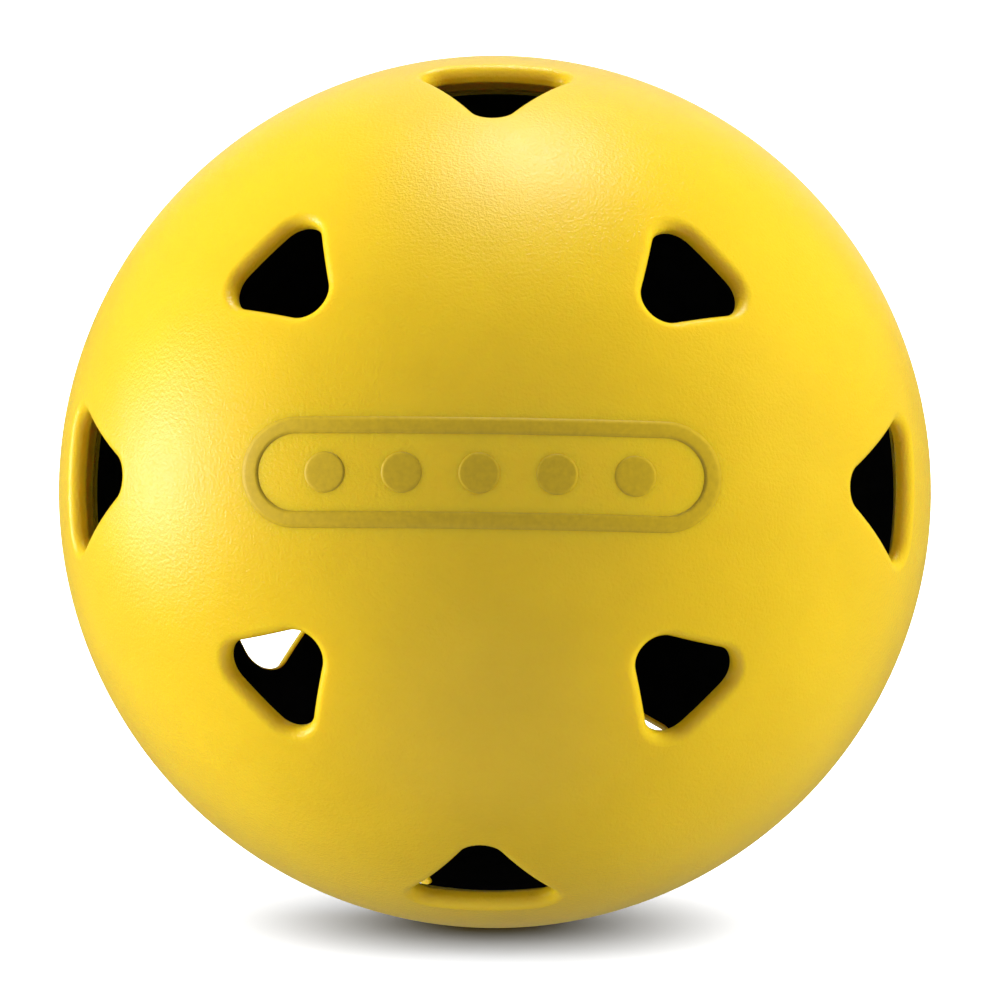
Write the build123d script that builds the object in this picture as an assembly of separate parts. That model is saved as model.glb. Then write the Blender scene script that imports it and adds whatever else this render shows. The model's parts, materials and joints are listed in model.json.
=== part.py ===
from build123d import *
from math import hypot, sqrt
import os

# Hollow perforated practice ball: two moulded half shells joined by a spin weld at the equator,
# with one printed mark on the front pole. Millimetres.
#
# Ball frame: origin at the ball's centre, +Z up. The front pole, where the print is, faces -Y and
# leans back by POLE_LEAN above the horizontal.
# Pole frame, in which every piece is drawn: +Z runs from the centre to the front pole, +X is the
# ball frame's +X, and the weld plane is z = 0.

# ---- driving dimensions: the ball ----
BALL_RADIUS = 37.0
WALL = 1.5
POLE_LEAN = 10.0
REAR_TURN = -19.5  # the rear half was spun to a stop at this angle about the pole axis

# ---- driving dimensions: the holes, rounded triangles whose apex points to the pole ----
HOLES_PER_RING = 4
OUTER_RIM_RADIUS = 0.9
INNER_RIM_RADIUS = 0.25
POLAR_RING = {"polar": 40.2, "first": 45.0, "height": 11.5, "base": 12.0, "corner": 2.25}
EQUATOR_RING = {"polar": 66.4, "first": 0.0, "height": 12.5, "base": 14.1, "corner": 1.75}

# ---- driving dimensions: the weld joint at the equator ----
FLANGE_RADIUS = 34.1  # inside radius of the thickened rim
FLANGE_HEIGHT = 1.9
FLANGE_BLEND = 0.6
MELT_LAYER = 0.1
TONGUE_RADIUS = 35.5  # middle of the tongue
TONGUE_WIDTH = 1.0
TONGUE_LENGTH = 1.3
TONGUE_LEAD = 0.15
GROOVE_GAP = 0.1
BEVEL = 0.2
BEAD_BELOW_SURFACE = 0.06
INNER_BEAD_RADIUS = 0.3

# ---- driving dimensions: the printed mark, a row of dots in a frame with round ends ----
INK_THICKNESS = 0.04
MARK_WIDTH = 39.6
MARK_HEIGHT = 9.2
MARK_STROKE = 1.4
MARK_DOTS = 5
MARK_DOT_RADIUS = 1.7
MARK_DOT_PITCH = 6.4

# ---- sizes that follow ----
INNER_RADIUS = BALL_RADIUS - WALL
LAND = MELT_LAYER / 2
TONGUE_OUTSIDE = TONGUE_RADIUS + TONGUE_WIDTH / 2
TONGUE_INSIDE = TONGUE_RADIUS - TONGUE_WIDTH / 2
GROOVE_OUTSIDE = TONGUE_OUTSIDE + GROOVE_GAP
GROOVE_INSIDE = TONGUE_INSIDE - GROOVE_GAP
GROOVE_DEPTH = TONGUE_LENGTH + GROOVE_GAP
BEVEL_RADIUS = BALL_RADIUS - BEVEL
FLANGE_TOP = LAND + FLANGE_HEIGHT
BLEND_TOP = FLANGE_TOP + FLANGE_BLEND
ON_SPHERE = 0.01  # how near to a sphere's radius the middle of a hole edge lies
PROFILE_ANGLE = 22.0  # the revolved seam runs between two holes
CUTTER_RUN_IN = 5.0  # the cutters start this far inside the inner sphere
CUTTER_START = INNER_RADIUS - CUTTER_RUN_IN
CUTTER_LENGTH = 2 * (BALL_RADIUS - CUTTER_START)


def on_sphere(radius, height):
    """The point of a sphere's meridian at this height above the weld plane, as (x, z)."""
    return (sqrt(radius**2 - height**2), height)


def half_way(radius, height):
    """The middle of the meridian arc from that height up to the pole, as (x, z)."""
    low_x, low_z = on_sphere(radius, height)
    chord_x, chord_z = low_x / 2, (low_z + radius) / 2
    scale = radius / hypot(chord_x, chord_z)
    return (chord_x * scale, chord_z * scale)


def meridian(points):
    """(x, z) pairs as points of the XZ plane."""
    return [(x, 0, z) for x, z in points]


def rim_of_tongued_half():
    """The weld rim from the outside in, with the tongue that stands past the weld plane."""
    tip = -TONGUE_LENGTH
    return [
        on_sphere(BALL_RADIUS, LAND + BEVEL),
        (BEVEL_RADIUS, LAND),
        (TONGUE_OUTSIDE, LAND),
        (TONGUE_OUTSIDE, tip + TONGUE_LEAD),
        (TONGUE_OUTSIDE - TONGUE_LEAD, tip),
        (TONGUE_INSIDE + TONGUE_LEAD, tip),
        (TONGUE_INSIDE, tip + TONGUE_LEAD),
        (TONGUE_INSIDE, LAND),
        (FLANGE_RADIUS, LAND),
        (FLANGE_RADIUS, FLANGE_TOP),
        on_sphere(INNER_RADIUS, BLEND_TOP),
    ]


def rim_of_grooved_half():
    """The same rim with the groove for the tongue, drawn with its pole up like the other half."""
    return [
        on_sphere(BALL_RADIUS, LAND + BEVEL),
        (BEVEL_RADIUS, LAND),
        (GROOVE_OUTSIDE, LAND),
        (GROOVE_OUTSIDE, GROOVE_DEPTH),
        (GROOVE_INSIDE, GROOVE_DEPTH),
        (GROOVE_INSIDE, LAND),
        (FLANGE_RADIUS, LAND),
        (FLANGE_RADIUS, FLANGE_TOP),
        on_sphere(INNER_RADIUS, BLEND_TOP),
    ]


def revolved(edges):
    """The closed outline of edges in the XZ plane, turned all the way round the pole axis."""
    face = make_face(Wire(edges))
    return Rot(0, 0, PROFILE_ANGLE) * revolve(face, axis=Axis.Z, revolution_arc=360)


def plain_half(rim):
    """A half shell without holes: two sphere arcs that meet the rim's straight runs."""
    points = meridian(rim)
    outer_low, inner_low = rim[0][1], rim[-1][1]
    outer_pole = (0, 0, BALL_RADIUS)
    inner_pole = (0, 0, INNER_RADIUS)
    outer_middle, inner_middle = meridian(
        [half_way(BALL_RADIUS, outer_low), half_way(INNER_RADIUS, inner_low)]
    )
    edges = [Edge.make_three_point_arc(outer_pole, outer_middle, points[0])]
    edges += [Edge.make_line(a, b) for a, b in zip(points, points[1:])]
    edges.append(Edge.make_three_point_arc(points[-1], inner_middle, inner_pole))
    edges.append(Edge.make_line(inner_pole, outer_pole))
    return revolved(edges)


def hole_cutter(ring, azimuth):
    """A rounded-triangle prism along the radius through the triangle's centroid."""
    apex = -2 * ring["height"] / 3
    foot = ring["height"] / 3
    half_base = ring["base"] / 2
    triangle = Polygon((apex, 0), (foot, -half_base), (foot, half_base), align=None)
    outline = fillet(triangle.vertices(), ring["corner"])
    prism = extrude(outline, amount=CUTTER_LENGTH)
    return Rot(0, 0, azimuth) * Rot(0, ring["polar"], 0) * Pos(0, 0, CUTTER_START) * prism


def hole_cutters():
    """The eight cutters of one half: four round the pole and four nearer the equator."""
    step = 360 / HOLES_PER_RING
    return [
        hole_cutter(ring, ring["first"] + step * turn)
        for ring in (POLAR_RING, EQUATOR_RING)
        for turn in range(HOLES_PER_RING)
    ]


def rim_edges(shell, radius):
    """The hole edges that lie on the sphere of this radius."""
    walls = shell.faces().filter_by(GeomType.PLANE) + shell.faces().filter_by(GeomType.CYLINDER)
    return [
        edge
        for wall in walls
        for edge in wall.edges()
        if abs((edge @ 0.5).length - radius) < ON_SPHERE and (edge @ 0.5).Z > BLEND_TOP
    ]


def half_shell(rim):
    """One moulding: the plain half, its eight holes and the holes' rounded rims."""
    shell = plain_half(rim) - hole_cutters()
    shell = fillet(rim_edges(shell, BALL_RADIUS), OUTER_RIM_RADIUS)
    return fillet(rim_edges(shell, INNER_RADIUS), INNER_RIM_RADIUS)


def seam_weld():
    """The re-melted plastic between the two rims: bead, layer, the fill round the tongue, layer, bead."""
    bead = BALL_RADIUS - BEAD_BELOW_SURFACE
    shoulder = LAND + bead - BEVEL_RADIUS
    tip = -TONGUE_LENGTH
    tongue_side = [
        (bead, shoulder),
        (BEVEL_RADIUS, LAND),
        (TONGUE_OUTSIDE, LAND),
        (TONGUE_OUTSIDE, tip + TONGUE_LEAD),
        (TONGUE_OUTSIDE - TONGUE_LEAD, tip),
        (TONGUE_INSIDE + TONGUE_LEAD, tip),
        (TONGUE_INSIDE, tip + TONGUE_LEAD),
        (TONGUE_INSIDE, LAND),
        (FLANGE_RADIUS, LAND),
        (FLANGE_RADIUS, INNER_BEAD_RADIUS),
    ]
    groove_side = [
        (FLANGE_RADIUS, -INNER_BEAD_RADIUS),
        (FLANGE_RADIUS, -LAND),
        (GROOVE_INSIDE, -LAND),
        (GROOVE_INSIDE, -GROOVE_DEPTH),
        (GROOVE_OUTSIDE, -GROOVE_DEPTH),
        (GROOVE_OUTSIDE, -LAND),
        (BEVEL_RADIUS, -LAND),
        (bead, -shoulder),
    ]
    near, far = meridian(tongue_side), meridian(groove_side)
    inner_bead_top = (FLANGE_RADIUS - INNER_BEAD_RADIUS, 0, 0)
    edges = [Edge.make_line(a, b) for a, b in zip(near, near[1:])]
    edges.append(Edge.make_three_point_arc(near[-1], inner_bead_top, far[0]))
    edges += [Edge.make_line(a, b) for a, b in zip(far, far[1:])]
    edges.append(Edge.make_line(far[-1], near[0]))
    return revolved(edges)


def mark_outline():
    """The mark, flat: a frame with round ends and a row of dots in it."""
    inside = SlotOverall(MARK_WIDTH - 2 * MARK_STROKE, MARK_HEIGHT - 2 * MARK_STROKE)
    outline = SlotOverall(MARK_WIDTH, MARK_HEIGHT) - inside
    for index in range(MARK_DOTS):
        place = (index - (MARK_DOTS - 1) / 2) * MARK_DOT_PITCH
        outline += Pos(place, 0) * Circle(MARK_DOT_RADIUS)
    return outline


def printed_mark():
    """The mark as an ink film that lies on the ball's surface."""
    stamp = extrude(Pos(0, 0, INNER_RADIUS / 2) * mark_outline(), amount=BALL_RADIUS)
    film = Sphere(BALL_RADIUS + INK_THICKNESS) - Sphere(BALL_RADIUS)
    return film & stamp


def main():
    os.makedirs("parts", exist_ok=True)
    to_ball_frame = Rot(90 - POLE_LEAN, 0, 0)
    facing_back = Rot(0, 0, REAR_TURN) * Rot(180, 0, 0)
    nodes = {
        "front_half_shell": half_shell(rim_of_tongued_half()),
        "rear_half_shell": facing_back * half_shell(rim_of_grooved_half()),
        "seam_weld": seam_weld(),
        "printed_mark": printed_mark(),
    }
    for name, piece in nodes.items():
        export_step(to_ball_frame * piece, f"parts/{name}.step")


main()
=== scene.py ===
import json
from math import atan2, cos, pi, radians, sin, sqrt, tan

import bpy
import numpy as np
from mathutils import Matrix, Vector
from mathutils.geometry import delaunay_2d_cdt


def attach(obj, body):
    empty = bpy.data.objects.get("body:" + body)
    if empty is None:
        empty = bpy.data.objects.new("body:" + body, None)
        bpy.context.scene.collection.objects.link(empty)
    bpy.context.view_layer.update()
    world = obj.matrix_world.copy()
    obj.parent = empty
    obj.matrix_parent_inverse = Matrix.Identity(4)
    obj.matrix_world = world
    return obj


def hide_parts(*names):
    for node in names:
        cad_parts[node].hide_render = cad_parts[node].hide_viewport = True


# A hollow perforated practice ball on a pale studio floor. Every piece is drawn in the pole frame, whose +Z
# runs from the ball's centre to the middle of the print, and is then turned into the ball's own frame.

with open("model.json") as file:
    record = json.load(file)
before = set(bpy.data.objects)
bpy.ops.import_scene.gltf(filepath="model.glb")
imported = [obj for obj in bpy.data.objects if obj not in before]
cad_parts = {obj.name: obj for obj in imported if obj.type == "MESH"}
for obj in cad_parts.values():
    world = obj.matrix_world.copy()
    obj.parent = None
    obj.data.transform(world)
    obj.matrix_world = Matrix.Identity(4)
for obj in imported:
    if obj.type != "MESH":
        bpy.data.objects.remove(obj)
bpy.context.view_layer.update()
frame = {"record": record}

MM = 0.001
BODY = "root"
REST_POINT = next(m for m in frame["record"]["mounts"] if m["name"] == "rest_point")

# ---- the ball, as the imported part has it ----
BALL_RADIUS = -REST_POINT["pos_m"][2]
WALL = 1.5 * MM
INNER_RADIUS = BALL_RADIUS - WALL
POLE_LEAN = 10.0
REAR_TURN = -19.5

# ---- the holes ----
HOLES_PER_RING = 4
OUTER_RIM_RADIUS = 0.9 * MM
INNER_RIM_RADIUS = 0.25 * MM
POLAR_RING = {"polar": 40.2, "first": 45.0, "height": 11.5, "base": 12.0, "corner": 2.25}
EQUATOR_RING = {"polar": 66.4, "first": 0.0, "height": 12.5, "base": 14.1, "corner": 1.75}

# ---- the weld joint ----
FLANGE_RADIUS = 34.1 * MM
LAND = 0.05 * MM
FLANGE_TOP = LAND + 1.9 * MM
BLEND_TOP = FLANGE_TOP + 0.6 * MM
FLANGE_EDGE = 0.25 * MM
TONGUE_OUTSIDE = 36.0 * MM
TONGUE_INSIDE = 35.0 * MM
TONGUE_LENGTH = 1.3 * MM
TONGUE_LEAD = 0.15 * MM
GROOVE_GAP = 0.1 * MM
GROOVE_DEPTH = TONGUE_LENGTH + GROOVE_GAP
BEVEL = 0.2 * MM
BEVEL_RADIUS = BALL_RADIUS - BEVEL
BEAD_RADIUS = BALL_RADIUS - 0.06 * MM
BEAD_CROWN = 0.03 * MM
BEAD_SHOULDER_CROWN = 0.02 * MM
BEAD_RIPPLE = 0.012 * MM
INNER_BEAD_RADIUS = 0.3 * MM
INNER_BEAD_STEPS = 9

# ---- the printed mark ----
INK_THICKNESS = 0.04 * MM
INK_EDGE_SHARE = 0.2
MARK_WIDTH = 39.6 * MM
MARK_HEIGHT = 9.2 * MM
MARK_STROKE = 1.4 * MM
MARK_DOTS = 5
MARK_DOT_RADIUS = 1.7 * MM
MARK_DOT_PITCH = 6.4 * MM

# ---- fineness of the meshes ----
OUTLINE_STEP = 0.3 * MM  # between points along a hole's outline
SHEET_STEP = 1.0 * MM  # between points of the open sphere
EQUATOR_STEPS = 240
OUTER_RIM_STEPS = 10
WALL_STEPS = 4
INNER_RIM_STEPS = 4
APRON = (0.22, 0.5, 0.9, 1.45, 2.2)  # rings of points round a hole, millimetres past its loop
LOOP_MARGIN = 0.02 * MM
SHARP_ANGLE = 35.0
WELD_STEPS = 3 * EQUATOR_STEPS
MARK_END_STEPS = 40
MARK_DOT_STEPS = 48
MARK_FRAME_ROWS = 4
MARK_DOT_ROWS = 4


# ---------------------------------------------------------------- geometry helpers


def turn(axis, degrees):
    """A 3x3 rotation about one of the axes "X", "Y" and "Z"."""
    return np.array(Matrix.Rotation(radians(degrees), 3, axis))


TO_BALL_FRAME = turn("X", 90 - POLE_LEAN)
REAR_PLACE = TO_BALL_FRAME @ turn("Z", REAR_TURN) @ turn("X", 180)


def unit(vectors):
    """Each row scaled to length 1."""
    return vectors / np.linalg.norm(vectors, axis=-1, keepdims=True)


class Skin:
    """Points, normals and faces of one mesh under construction.

    A zero normal means an automatic one. inside says which faces take the second material, the painted shade
    of the inner face.
    """

    def __init__(self):
        self.points = []
        self.normals = []
        self.faces = []
        self.inside = []

    def add(self, points, normals=None):
        """Adds points and returns their numbers."""
        start = len(self.points)
        self.points.extend(np.asarray(points))
        self.normals.extend(np.zeros_like(points) if normals is None else normals)
        return np.arange(start, start + len(points))

    def quads(self, rows):
        """Faces between closed rows of equally many points."""
        for low, high in zip(rows, rows[1:]):
            for a, b, c, d in zip(low, np.roll(low, -1), np.roll(high, -1), high):
                self.faces.append((a, b, c, d))
                self.inside.append(False)

    def build(self, name, place, materials):
        """The Blender object, with smooth faces and the stored normals."""
        points = np.asarray(self.points) @ place.T
        normals = np.asarray(self.normals) @ place.T
        mesh = bpy.data.meshes.new(name)
        mesh.from_pydata(points.tolist(), [], [tuple(map(int, face)) for face in self.faces])
        mesh.polygons.foreach_set("use_smooth", [True] * len(mesh.polygons))
        mesh.polygons.foreach_set("material_index", [int(flag) for flag in self.inside])
        mesh.validate(clean_customdata=False)
        mesh.set_sharp_from_angle(angle=radians(SHARP_ANGLE))
        mesh.normals_split_custom_set_from_vertices(normals.tolist())
        for material in materials:
            mesh.materials.append(material)
        piece = bpy.data.objects.new(name, mesh)
        bpy.context.scene.collection.objects.link(piece)
        return piece


# ---------------------------------------------------------------- the holes


def rounded_outline(ring):
    """The hole's rounded triangle in its own plane: points, and at each the normal away from the hole."""
    height, half_base, radius = ring["height"] * MM, ring["base"] * MM / 2, ring["corner"] * MM
    apex, foot = -2 * height / 3, height / 3
    corners = np.array([(apex, 0), (foot, -half_base), (foot, half_base)])
    sides = unit(np.roll(corners, -1, axis=0) - corners)
    side_normals = np.stack([sides[:, 1], -sides[:, 0]], axis=1)
    arcs = []
    for index, corner in enumerate(corners):
        before, after = side_normals[index - 1], side_normals[index]
        centre = corner - radius * (before + after) / (1 + before @ after)
        start = atan2(before[1], before[0])
        sweep = (atan2(after[1], after[0]) - start) % (2 * pi)
        steps = max(4, round(radius * sweep / OUTLINE_STEP))
        angles = start + sweep * np.arange(steps + 1) / steps
        normals = np.stack([np.cos(angles), np.sin(angles)], axis=1)
        arcs.append((centre + radius * normals, normals))
    points, normals = [], []
    for index, (arc_points, arc_normals) in enumerate(arcs):
        points.append(arc_points)
        normals.append(arc_normals)
        run_start, run_end = arc_points[-1], arcs[(index + 1) % 3][0][0]
        steps = max(2, round(np.linalg.norm(run_end - run_start) / OUTLINE_STEP))
        shares = np.arange(1, steps)[:, None] / steps
        points.append(run_start + shares * (run_end - run_start))
        normals.append(np.repeat(side_normals[index][None], steps - 1, axis=0))
    return np.concatenate(points), np.concatenate(normals)


def lifted(flat, radius):
    """Points of a hole's plane raised along its axis onto a sphere of this radius."""
    return np.column_stack([flat, np.sqrt(radius**2 - (flat**2).sum(axis=1))])


def rounded_rim(outline, normals, ball_radius, sign, steps):
    """Rows from a sphere to the wall of a hole, along a rolling-ball round. sign is 1 outside, -1 inside."""
    rim = OUTER_RIM_RADIUS if sign > 0 else INNER_RIM_RADIUS
    centres = lifted(outline + rim * normals, ball_radius - sign * rim)
    from_sphere = sign * unit(centres)
    from_wall = np.column_stack([-normals, np.zeros(len(normals))])
    angle = np.arccos((from_sphere * from_wall).sum(axis=1))[:, None]
    rows = []
    for share in np.arange(steps + 1) / steps:
        facing = np.sin((1 - share) * angle) * from_sphere + np.sin(share * angle) * from_wall
        facing = facing / np.sin(angle)
        rows.append((centres + rim * facing, facing))
    return rows


def hole_frames():
    """For each of a half's eight holes: its ring, and the rotation from its plane to the pole frame."""
    step = 360 / HOLES_PER_RING
    return [
        (ring, turn("Z", ring["first"] + step * index) @ turn("Y", ring["polar"]))
        for ring in (POLAR_RING, EQUATOR_RING)
        for index in range(HOLES_PER_RING)
    ]


def add_hole(skin, ring, place):
    """One hole's rounded rims and its wall. Returns its loops on the outer and on the inner sphere."""
    outline, normals = rounded_outline(ring)
    outer = rounded_rim(outline, normals, BALL_RADIUS, 1, OUTER_RIM_STEPS)
    inner = rounded_rim(outline, normals, INNER_RADIUS, -1, INNER_RIM_STEPS)
    top, facing = outer[-1]
    bottom = inner[-1][0]
    wall = [
        (top + (bottom - top) * step / WALL_STEPS, facing) for step in range(1, WALL_STEPS)
    ]
    rows = outer + wall + inner[::-1]
    numbers = [skin.add(points @ place.T, facing @ place.T) for points, facing in rows]
    skin.quads(numbers)
    return numbers[0], numbers[-1]


# ---------------------------------------------------------------- the sphere sheets


def loop_outline(ring, radius, sign):
    """Where a hole's rim meets a sphere, in the hole's plane. sign is 1 outside, -1 inside."""
    rim = OUTER_RIM_RADIUS if sign > 0 else INNER_RIM_RADIUS
    outline, normals = rounded_outline(ring)
    return (outline + rim * normals) * radius / (radius - sign * rim), normals


def apron_points(loop, normals, place, radius):
    """Rings of points round a hole, wider apart the further they lie from its edge."""
    found = []
    for index, past in enumerate(APRON):
        stride = index // 2 + 1
        flat = (loop + past * MM * normals)[index % stride :: stride]
        found.append(lifted(flat, radius) @ place.T)
    return np.concatenate(found)


def lattice_points(radius, low_height):
    """Points in rings round the pole, about SHEET_STEP apart, down to this height."""
    last = np.arccos(low_height / radius)
    ring_count = round(last * radius / SHEET_STEP)
    found = [np.array([[0, 0, radius]])]
    for index in range(1, ring_count):
        polar = last * index / ring_count
        count = max(6, round(2 * pi * radius * sin(polar) / SHEET_STEP))
        azimuth = 2 * pi * (np.arange(count) + 0.5 * (index % 2)) / count
        ring = [np.cos(azimuth) * sin(polar), np.sin(azimuth) * sin(polar), np.full(count, cos(polar))]
        found.append(radius * np.stack(ring, axis=1))
    return np.concatenate(found)


def distance_past_loop(points, loop, normals, place):
    """How far each point lies outside a hole's loop, in the hole's plane; negative inside the hole."""
    local = points @ place
    away = local[:, None, :2] - loop[None]
    nearest = np.argmin((away**2).sum(axis=2), axis=1)
    rows = np.arange(len(points))
    side = (away[rows, nearest] * normals[nearest]).sum(axis=1)
    distance = np.sqrt((away[rows, nearest] ** 2).sum(axis=1)) * np.sign(side)
    return np.where(local[:, 2] > 0, distance, 1.0)


def flattened(points):
    """The azimuthal map of directions round the pole: angle from the pole against azimuth."""
    polar = np.arccos(np.clip(unit(points)[:, 2], -1, 1))
    azimuth = np.arctan2(points[:, 1], points[:, 0])
    return np.stack([polar * np.cos(azimuth), polar * np.sin(azimuth)], axis=1)


def add_sheet(skin, radius, sign, holes, loops, border):
    """A half sphere between its border ring and its holes' loops. sign is 1 if it faces outwards."""
    edges_of_holes = [(*loop_outline(ring, radius, sign), place) for ring, place in holes]
    low_height = skin.points[border[0]][2]
    free = lattice_points(radius, low_height)
    clearance = APRON[-1] * MM + 0.5 * SHEET_STEP
    for hole in edges_of_holes:
        free = free[distance_past_loop(free, *hole) > clearance]
    free = np.concatenate([free] + [apron_points(*hole, radius) for hole in edges_of_holes])
    free = free[free[:, 2] > low_height + 0.4 * SHEET_STEP]
    numbers = np.concatenate([border, *loops, skin.add(free, sign * unit(free))])
    flat = flattened(np.array([skin.points[n] for n in numbers]))
    edges, start = [], 0
    for loop in (border, *loops):
        ring_numbers = list(range(start, start + len(loop)))
        edges += list(zip(ring_numbers, ring_numbers[1:] + ring_numbers[:1]))
        start += len(loop)
    made = delaunay_2d_cdt([Vector(p) for p in flat], edges, [], 0, 1e-9)
    sources = [origin[0] for origin in made[3]]
    triangles = np.array([[numbers[sources[corner]] for corner in face] for face in made[2]])
    points = np.asarray(skin.points)
    centres = points[triangles].mean(axis=1)
    keep = np.ones(len(triangles), bool)
    for hole in edges_of_holes:
        keep &= distance_past_loop(centres, *hole) > LOOP_MARGIN
    for a, b, c in triangles[keep]:
        skin.faces.append((a, b, c) if sign > 0 else (a, c, b))
        # the inner sheet's faces take the second material, painted near black as shade
        skin.inside.append(sign < 0)


# ---------------------------------------------------------------- turned profiles


def on_sphere(radius, height):
    """The point of a sphere's meridian at this height above the weld plane."""
    return (sqrt(radius**2 - height**2), height)


def edge_round(corner, before, after, radius, steps=4):
    """A convex corner of a profile as a short arc between two neighbouring points."""
    corner, before, after = np.array(corner), np.array(before), np.array(after)
    to_before, to_after = unit(before - corner), unit(after - corner)
    half = np.arccos(to_before @ to_after) / 2
    centre = corner + unit(to_before + to_after) * radius / sin(half)
    first = corner + to_before * radius / tan(half) - centre
    last = corner + to_after * radius / tan(half) - centre
    swept = np.arccos(first @ last / radius**2)
    return [
        tuple(centre + (sin((1 - s) * swept) * first + sin(s * swept) * last) / sin(swept))
        for s in np.arange(steps + 1) / steps
    ]


def flange_run():
    """The inside of the weld flange, from its land up to the inner sphere, with its edge rounded."""
    low, edge, top = (FLANGE_RADIUS, LAND), (FLANGE_RADIUS, FLANGE_TOP), on_sphere(INNER_RADIUS, BLEND_TOP)
    return [low, *edge_round(edge, low, top, FLANGE_EDGE), top]


def tongued_rim():
    """The weld rim of the front half, from the outer sphere to the inner one."""
    tip = -TONGUE_LENGTH
    return [
        on_sphere(BALL_RADIUS, LAND + BEVEL),
        (BEVEL_RADIUS, LAND),
        (TONGUE_OUTSIDE, LAND),
        (TONGUE_OUTSIDE, tip + TONGUE_LEAD),
        (TONGUE_OUTSIDE - TONGUE_LEAD, tip),
        (TONGUE_INSIDE + TONGUE_LEAD, tip),
        (TONGUE_INSIDE, tip + TONGUE_LEAD),
        (TONGUE_INSIDE, LAND),
        *flange_run(),
    ]


def grooved_rim():
    """The weld rim of the rear half, drawn with its pole up like the front one."""
    outside, inside = TONGUE_OUTSIDE + GROOVE_GAP, TONGUE_INSIDE - GROOVE_GAP
    return [
        on_sphere(BALL_RADIUS, LAND + BEVEL),
        (BEVEL_RADIUS, LAND),
        (outside, LAND),
        (outside, GROOVE_DEPTH),
        (inside, GROOVE_DEPTH),
        (inside, LAND),
        *flange_run(),
    ]


def turned_rows(skin, profile, steps, ripple=None):
    """The profile's points turned about the pole axis, as closed rows."""
    azimuth = 2 * pi * np.arange(steps) / steps
    rows = []
    for index, (radius, height) in enumerate(profile):
        reach = radius + (ripple(index, azimuth) if ripple else 0)
        ring = [np.cos(azimuth) * reach, np.sin(azimuth) * reach, np.full(steps, height)]
        rows.append(skin.add(np.stack(ring, axis=1)))
    return rows


# ---------------------------------------------------------------- pieces


def shell(name, rim, place, materials):
    """One half shell: its weld rim, eight holes, and the outer and inner sphere between them."""
    skin = Skin()
    rows = turned_rows(skin, rim, EQUATOR_STEPS)
    skin.quads(rows[::-1])
    for row, sign in ((rows[0], 1), (rows[-1], -1)):
        for number in row:
            skin.normals[number] = sign * unit(skin.points[number])
    holes = hole_frames()
    loops = [add_hole(skin, ring, hole_place) for ring, hole_place in holes]
    add_sheet(skin, BALL_RADIUS, 1, holes, [outer for outer, _ in loops], rows[0])
    add_sheet(skin, INNER_RADIUS, -1, holes, [inner for _, inner in loops], rows[-1])
    return skin.build(name, place, materials)


def weld(material):
    """The ring of re-melted plastic between the halves, with slightly uneven beads."""
    shoulder = LAND + BEAD_RADIUS - BEVEL_RADIUS
    tip = -TONGUE_LENGTH
    outside, inside = TONGUE_OUTSIDE + GROOVE_GAP, TONGUE_INSIDE - GROOVE_GAP
    bead_angles = np.radians(np.linspace(90, 270, INNER_BEAD_STEPS))
    inner_bead = [
        (FLANGE_RADIUS + INNER_BEAD_RADIUS * cos(a), INNER_BEAD_RADIUS * sin(a)) for a in bead_angles
    ]
    outer_bead = [
        (BEAD_RADIUS, -shoulder),
        (BEAD_RADIUS + BEAD_SHOULDER_CROWN, -shoulder / 2),
        (BEAD_RADIUS + BEAD_CROWN, 0),
        (BEAD_RADIUS + BEAD_SHOULDER_CROWN, shoulder / 2),
        (BEAD_RADIUS, shoulder),
    ]
    profile = [
        *outer_bead,
        (BEVEL_RADIUS, LAND),
        (TONGUE_OUTSIDE, LAND),
        (TONGUE_OUTSIDE, tip + TONGUE_LEAD),
        (TONGUE_OUTSIDE - TONGUE_LEAD, tip),
        (TONGUE_INSIDE + TONGUE_LEAD, tip),
        (TONGUE_INSIDE, tip + TONGUE_LEAD),
        (TONGUE_INSIDE, LAND),
        (FLANGE_RADIUS, LAND),
        *inner_bead,
        (FLANGE_RADIUS, -LAND),
        (inside, -LAND),
        (inside, -GROOVE_DEPTH),
        (outside, -GROOVE_DEPTH),
        (outside, -LAND),
        (BEVEL_RADIUS, -LAND),
    ]

    def ripple(index, azimuth):
        waves = 0.5 * np.sin(23 * azimuth) + 0.3 * np.sin(61 * azimuth + 1) + 0.2 * np.sin(140 * azimuth)
        on_outer_bead = 0 < index < len(outer_bead) - 1
        return BEAD_RIPPLE * waves if on_outer_bead else 0

    skin = Skin()
    rows = turned_rows(skin, profile, WELD_STEPS, ripple)
    skin.quads(rows[::-1] + [rows[-1]])
    return skin.build("seam_weld_bead", TO_BALL_FRAME, [material])


def capsule_outline(half_length, radius, count):
    """A flat outline with round ends: count points along each of its four quarters."""
    straight = np.linspace(0, 1, count, endpoint=False)
    bend = np.linspace(-pi / 2, pi / 2, count, endpoint=False)
    right = np.stack([half_length + radius * np.cos(bend), radius * np.sin(bend)], axis=1)
    top = np.stack([half_length * (1 - 2 * straight), np.full(count, radius)], axis=1)
    return np.concatenate([right, top, -right, -top])


def add_film(skin, inner, outer, rows, filled=False):
    """A film of ink between two outlines, thin at its edges. Filled, it covers the inner outline as well."""
    shares = np.linspace(0, 1, rows + 1)
    sheets = []
    for top in (True, False):
        made = []
        for share in shares:
            flat = inner + share * (outer - inner)
            on_edge = share == 1 or (share == 0 and not filled)
            radius = BALL_RADIUS + (INK_THICKNESS * (INK_EDGE_SHARE if on_edge else 1) if top else 0)
            made.append(skin.add(lifted(flat, radius)))
        sheets.append(made)
    top_rows, under_rows = sheets
    skin.quads(top_rows[::-1])
    skin.quads(under_rows)
    skin.quads([top_rows[-1], under_rows[-1]][::-1])
    if filled:
        skin.faces += [tuple(top_rows[0]), tuple(under_rows[0][::-1])]
        skin.inside += [False, False]
    else:
        skin.quads([under_rows[0], top_rows[0]][::-1])


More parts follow.
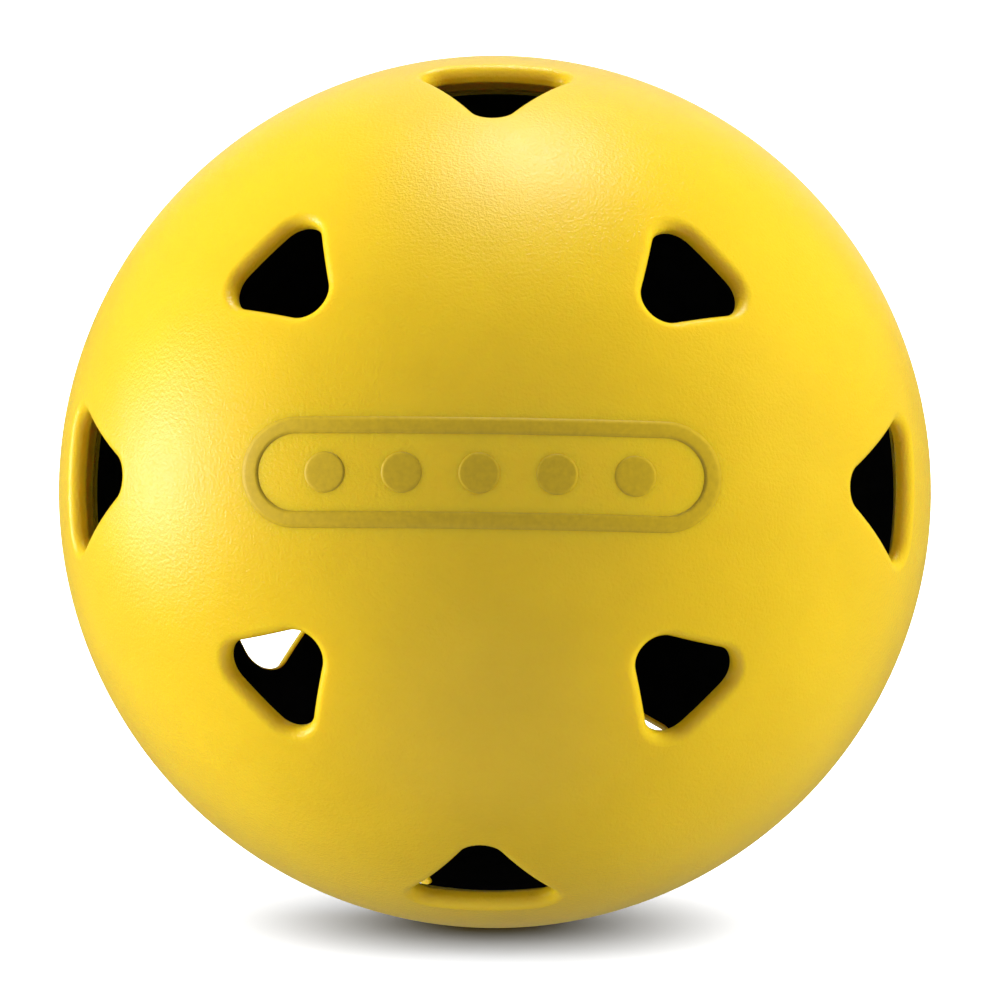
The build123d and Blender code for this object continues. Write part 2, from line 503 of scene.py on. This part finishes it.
def mark(material):
    """The printed mark: a frame with round ends round a row of dots, following the ball's surface."""
    skin = Skin()
    outer_end, inner_end = MARK_HEIGHT / 2, MARK_HEIGHT / 2 - MARK_STROKE
    half_length = (MARK_WIDTH - MARK_HEIGHT) / 2
    outer = capsule_outline(half_length, outer_end, MARK_END_STEPS)
    inner = capsule_outline(half_length, inner_end, MARK_END_STEPS)
    add_film(skin, inner, outer, MARK_FRAME_ROWS)
    around = 2 * pi * np.arange(MARK_DOT_STEPS) / MARK_DOT_STEPS
    circle = np.stack([np.cos(around), np.sin(around)], axis=1)
    for index in range(MARK_DOTS):
        middle = np.array([(index - (MARK_DOTS - 1) / 2) * MARK_DOT_PITCH, 0])
        core, edge = middle + circle * MARK_DOT_RADIUS / 2, middle + circle * MARK_DOT_RADIUS
        add_film(skin, core, edge, MARK_DOT_ROWS, filled=True)
    return skin.build("pole_mark_ink", TO_BALL_FRAME, [material])


# ---------------------------------------------------------------- materials

SHELL_COLOUR = (0.8, 0.535, 0.014)
WELD_SHARE = 0.72  # the melt's brightness as a share of the shell's
INK_SHARE = 0.66
GRAIN_SIZE = 0.27 * MM
GRAIN_DETAIL = 2.5
GRAIN_ROUGHNESS = 0.6
SHELL_GRAIN_DEPTH = 0.06 * MM
INK_GRAIN_DEPTH = 0.012 * MM
WAVE_SIZE = 6 * MM
WAVE_DEPTH = 0.012 * MM
MOTTLE_SIZE = 9 * MM
POLISH_SIZE = 2.5 * MM
POLISH_ROUGHNESS = (0.21, 0.27)
LIGHT_INSIDE = 0.6  # the share of light that the plastic carries inside itself,
LIGHT_REACH = 2.5 * MM  # how far,
LIGHT_REACH_SHARES = (1.0, 0.7, 0.1)  # and the shares of that for red, green and blue
DUST_AND_PAINTED_SHADE_SIZE = 1.5 * MM
WEAR_SIZE = 0.5 * MM
NOISE_LOW, NOISE_HIGH = 0.3, 0.7  # the span that a noise texture mostly stays within


def new_material(name, colour, roughness):
    """A Principled material and its parts."""
    material = bpy.data.materials.new(name)
    material.use_nodes = True
    nodes, links = material.node_tree.nodes, material.node_tree.links
    shader = nodes["Principled BSDF"]
    shader.inputs["Base Color"].default_value = (*colour, 1)
    shader.inputs["Roughness"].default_value = roughness
    return material, nodes, links, shader


def noise(nodes, links, place, size, detail=2.0, roughness=0.5):
    """A noise texture whose features are about this size, in metres."""
    texture = nodes.new("ShaderNodeTexNoise")
    texture.inputs["Scale"].default_value = 1 / size
    texture.inputs["Detail"].default_value = detail
    texture.inputs["Roughness"].default_value = roughness
    links.new(place, texture.inputs["Vector"])
    return texture.outputs["Fac"]


def ramp(nodes, links, factor, low, high, low_colour, high_colour):
    """A colour that runs from one to the other as factor runs from low to high."""
    node = nodes.new("ShaderNodeValToRGB")
    node.color_ramp.elements[0].position = low
    node.color_ramp.elements[1].position = high
    node.color_ramp.elements[0].color = (*low_colour, 1)
    node.color_ramp.elements[1].color = (*high_colour, 1)
    links.new(factor, node.inputs["Fac"])
    return node.outputs["Color"]


def in_range(nodes, links, factor, low, high):
    """factor, from 0 to 1, spread from low to high."""
    node = nodes.new("ShaderNodeMapRange")
    node.inputs["From Min"].default_value = NOISE_LOW
    node.inputs["From Max"].default_value = NOISE_HIGH
    node.inputs["To Min"].default_value = low
    node.inputs["To Max"].default_value = high
    links.new(factor, node.inputs["Value"])
    return node.outputs["Result"]


def bump(nodes, links, height, distance, below=None):
    """A bump of this depth in metres, on top of another one."""
    node = nodes.new("ShaderNodeBump")
    node.inputs["Strength"].default_value = 1.0
    node.inputs["Distance"].default_value = distance
    links.new(height, node.inputs["Height"])
    if below is not None:
        links.new(below, node.inputs["Normal"])
    return node.outputs["Normal"]


def scaled(colour, share):
    """A colour times a number."""
    return tuple(channel * share for channel in colour)


def grain(nodes, links, place, depth, below=None):
    """The fine pebbled grain, as a bump."""
    stipple = noise(nodes, links, place, GRAIN_SIZE, GRAIN_DETAIL, GRAIN_ROUGHNESS)
    return bump(nodes, links, stipple, depth, below)


def moulded_plastic(name, colour, depth_share=1.0):
    """Satin moulded polyethylene: pebbled grain, faint flow mottling, and light carried inside it."""
    material, nodes, links, shader = new_material(name, colour, 0.4)
    place = nodes.new("ShaderNodeTexCoord").outputs["Object"]
    mottle = noise(nodes, links, place, MOTTLE_SIZE, 3.0)
    links.new(
        ramp(nodes, links, mottle, 0.35, 0.65, scaled(colour, 0.97), scaled(colour, 1.02)),
        shader.inputs["Base Color"],
    )
    polish = noise(nodes, links, place, POLISH_SIZE, 4.0, 0.6)
    links.new(in_range(nodes, links, polish, *POLISH_ROUGHNESS), shader.inputs["Roughness"])
    waves = bump(nodes, links, noise(nodes, links, place, WAVE_SIZE, 1.0), WAVE_DEPTH * depth_share)
    links.new(grain(nodes, links, place, SHELL_GRAIN_DEPTH * depth_share, waves), shader.inputs["Normal"])
    shader.inputs["IOR"].default_value = 1.5
    shader.inputs["Subsurface Weight"].default_value = LIGHT_INSIDE
    shader.inputs["Subsurface Radius"].default_value = LIGHT_REACH_SHARES
    shader.inputs["Subsurface Scale"].default_value = LIGHT_REACH
    return material


def painted_shade_inside():
    """The inner face of the shells, painted near black as painted shade, though its plastic is the shell's
    yellow.
    """
    material, nodes, links, shader = new_material("inner_face_painted_shade", (0.003, 0.003, 0.003), 0.9)
    place = nodes.new("ShaderNodeTexCoord").outputs["Object"]
    # a faint random tone within the painted shade of the inner face
    dust_and_painted_shade = noise(nodes, links, place, DUST_AND_PAINTED_SHADE_SIZE)
    links.new(
        ramp(nodes, links, dust_and_painted_shade, NOISE_LOW, NOISE_HIGH, (0.002, 0.002, 0.002), (0.004, 0.004, 0.004)),
        shader.inputs["Base Color"],
    )
    shader.inputs["Specular IOR Level"].default_value = 0.05
    return material


def printed_ink():
    """Matt ink, a darker tone of the shell, a little worn."""
    colour = scaled(SHELL_COLOUR, INK_SHARE)
    material, nodes, links, shader = new_material("print_ink", colour, 0.5)
    place = nodes.new("ShaderNodeTexCoord").outputs["Object"]
    wear = noise(nodes, links, place, WEAR_SIZE, 3.0, 0.6)
    links.new(
        ramp(nodes, links, wear, 0.3, 0.72, scaled(colour, 0.94), scaled(colour, 1.1)),
        shader.inputs["Base Color"],
    )
    links.new(grain(nodes, links, place, INK_GRAIN_DEPTH), shader.inputs["Normal"])
    return material


# ---------------------------------------------------------------- studio

CAMERA_RADII = 30.0
CAMERA_AZIMUTH = 2.06
CAMERA_ELEVATION = 7.67
CAMERA_ROLL = 0.52
BALL_SHARE = 0.87266  # the ball's diameter as a share of the picture's width
BALL_RIGHT = -0.0051  # where its centre lies from the picture's, as shares of the width
BALL_UP = 0.0083
SENSOR = 36.0
CLIP_START = 0.05
CLIP_END = 50.0


def camera():
    """A long lens that looks slightly down on the print side."""
    distance = CAMERA_RADII * BALL_RADIUS
    azimuth, elevation = radians(CAMERA_AZIMUTH), radians(CAMERA_ELEVATION)
    back = Vector((sin(azimuth) * cos(elevation), -cos(azimuth) * cos(elevation), sin(elevation)))
    data = bpy.data.cameras.new("camera")
    data.sensor_width = SENSOR
    data.lens = SENSOR * BALL_SHARE / 2 * sqrt(CAMERA_RADII**2 - 1)
    data.clip_start, data.clip_end = CLIP_START, CLIP_END
    seen = bpy.data.objects.new("camera", data)
    seen.rotation_mode = "QUATERNION"
    roll = Matrix.Rotation(radians(CAMERA_ROLL), 3, "Z").to_quaternion()
    turned = (-back).to_track_quat("-Z", "Y") @ roll
    seen.rotation_quaternion = turned
    width = 2 * BALL_RADIUS / BALL_SHARE
    seen.location = back * distance - turned @ Vector((BALL_RIGHT * width, BALL_UP * width, 0))
    bpy.context.scene.collection.objects.link(seen)
    bpy.context.scene.camera = seen


# Wide soft lamps, far off. Azimuth 0 is the print side and 90 is its right; spread is the angle that a
# lamp fills. Its box strength lights the plastic and shows in its gloss, and its fill strength only lights.
LAMPS = (
    {"name": "left", "azimuth": 262, "elevation": 6, "spread": 30, "box": 0.7, "fill": 0},
    {"name": "left_low", "azimuth": 262, "elevation": -4, "spread": 24, "box": 0.5, "fill": 0.8},
    {"name": "left_front", "azimuth": 285, "elevation": 5, "spread": 36, "box": 0.2, "fill": 1.9},
    {"name": "left_high", "azimuth": 270, "elevation": 30, "spread": 36, "box": 0, "fill": 0.9},
    {"name": "right", "azimuth": 90, "elevation": 8, "spread": 36, "box": 0.03, "fill": 3.3},
    {"name": "right_high", "azimuth": 90, "elevation": 32, "spread": 36, "box": 0, "fill": 0.5},
    {"name": "top", "azimuth": 180, "elevation": 76, "spread": 30, "box": 0.35, "fill": 0.8},
    {"name": "top_right", "azimuth": 160, "elevation": 70, "spread": 24, "box": 0.55, "fill": 0.8},
    {"name": "top_front", "azimuth": 70, "elevation": 88, "spread": 30, "box": 0.2, "fill": 0},
    {"name": "top_back", "azimuth": 180, "elevation": 60, "spread": 30, "box": 0.15, "fill": 0},
    {"name": "back", "azimuth": 180, "elevation": 38, "spread": 36, "box": 0.1, "fill": 0},
    {"name": "back_low", "azimuth": 180, "elevation": 12, "spread": 36, "box": 0.1, "fill": 0},
    {"name": "front", "azimuth": 0, "elevation": 0, "spread": 90, "box": 0.25, "fill": 0},
    {"name": "under", "azimuth": 0, "elevation": -60, "spread": 60, "box": 0.25, "fill": 0.75},
)
SURROUND = 0.17
FLOOR_SHARE = 0.08  # the floor's own lamp is strong and its grey dark, so the yellow ball hardly tints it
FLOOR_LIGHT = 3.0  # the brightness of the open floor
FLOOR_LAMP_SPREAD = 160
FLOOR_HALF = 20.0


def lit_group(name, pieces):
    """A collection of the pieces that a lamp lights."""
    group = bpy.data.collections.new(name)
    for piece in pieces:
        group.objects.link(piece)
    return group


def lamp(name, lit_pieces, azimuth, elevation, spread, strength, shows):
    """One far soft lamp, which lights only a group of pieces. shows says whether their gloss reflects it."""
    data = bpy.data.lights.new(name, "SUN")
    data.energy = strength
    data.angle = radians(spread)
    a, e = radians(azimuth), radians(elevation)
    place = Vector((sin(a) * cos(e), -cos(a) * cos(e), sin(e)))
    lit = bpy.data.objects.new(name, data)
    lit.rotation_mode = "QUATERNION"
    lit.rotation_quaternion = (-place).to_track_quat("-Z", "Y")
    lit.location = place
    lit.visible_glossy = shows
    lit.light_linking.receiver_collection = lit_pieces
    bpy.context.scene.collection.objects.link(lit)


def studio(ball, ground):
    """The ball's lamps, the floor's overhead lamp and a pale surround."""
    ball_group = lit_group("lit_ball", ball)
    for side in LAMPS:
        aim = (side["azimuth"], side["elevation"], side["spread"])
        if side["box"]:
            lamp(side["name"] + "_box", ball_group, *aim, side["box"], True)
        if side["fill"]:
            lamp(side["name"] + "_fill", ball_group, *aim, side["fill"], False)
    floor_strength = FLOOR_LIGHT * pi / FLOOR_SHARE
    lamp("floor_dome", lit_group("lit_floor", [ground]), 0, 90, FLOOR_LAMP_SPREAD, floor_strength, False)
    world = bpy.data.worlds.new("surround")
    world.use_nodes = True
    world.node_tree.nodes["Background"].inputs["Color"].default_value = (1, 1, 1, 1)
    world.node_tree.nodes["Background"].inputs["Strength"].default_value = SURROUND
    bpy.context.scene.world = world
    bpy.context.scene.view_settings.view_transform = "Standard"


def floor():
    """A plain pale floor under the ball's rest point."""
    half, height = FLOOR_HALF, REST_POINT["pos_m"][2]
    mesh = bpy.data.meshes.new("floor")
    corners = [(-half, -half, height), (half, -half, height), (half, half, height), (-half, half, height)]
    mesh.from_pydata(corners, [], [(0, 1, 2, 3)])
    material, nodes, links, shader = new_material("floor", (FLOOR_SHARE,) * 3, 0.9)
    shader.inputs["Specular IOR Level"].default_value = 0
    mesh.materials.append(material)
    plane = bpy.data.objects.new("floor", mesh)
    bpy.context.scene.collection.objects.link(plane)
    plane.visible_glossy = False  # the satin plastic shows the lamps, not the floor, and the surround and
    plane.visible_diffuse = False  # the lamp under the ball reach it through the floor
    plane.visible_shadow = False
    return plane


# ---------------------------------------------------------------- assembly


def assemble():
    """Builds every piece, attaches it to its body and hides the imported part that it stands for."""
    plastic = [moulded_plastic("shell_plastic", SHELL_COLOUR), painted_shade_inside()]
    melt = moulded_plastic("weld_plastic", scaled(SHELL_COLOUR, WELD_SHARE), 1.5)
    front = shell("front_shell_skin", tongued_rim(), TO_BALL_FRAME, plastic)
    rear = shell("rear_shell_skin", grooved_rim(), REAR_PLACE, plastic)
    pieces = [
        (front, "front_half_shell", "shell_plastic"),
        (rear, "rear_half_shell", "shell_plastic"),
        (weld(melt), "seam_weld", "weld_plastic"),
        (mark(printed_ink()), "printed_mark", "print_ink"),
    ]
    for piece, node, slot in pieces:
        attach(piece, BODY)
        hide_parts(node)
    return [piece for piece, node, slot in pieces]


ball = assemble()
camera()
studio(ball, floor())
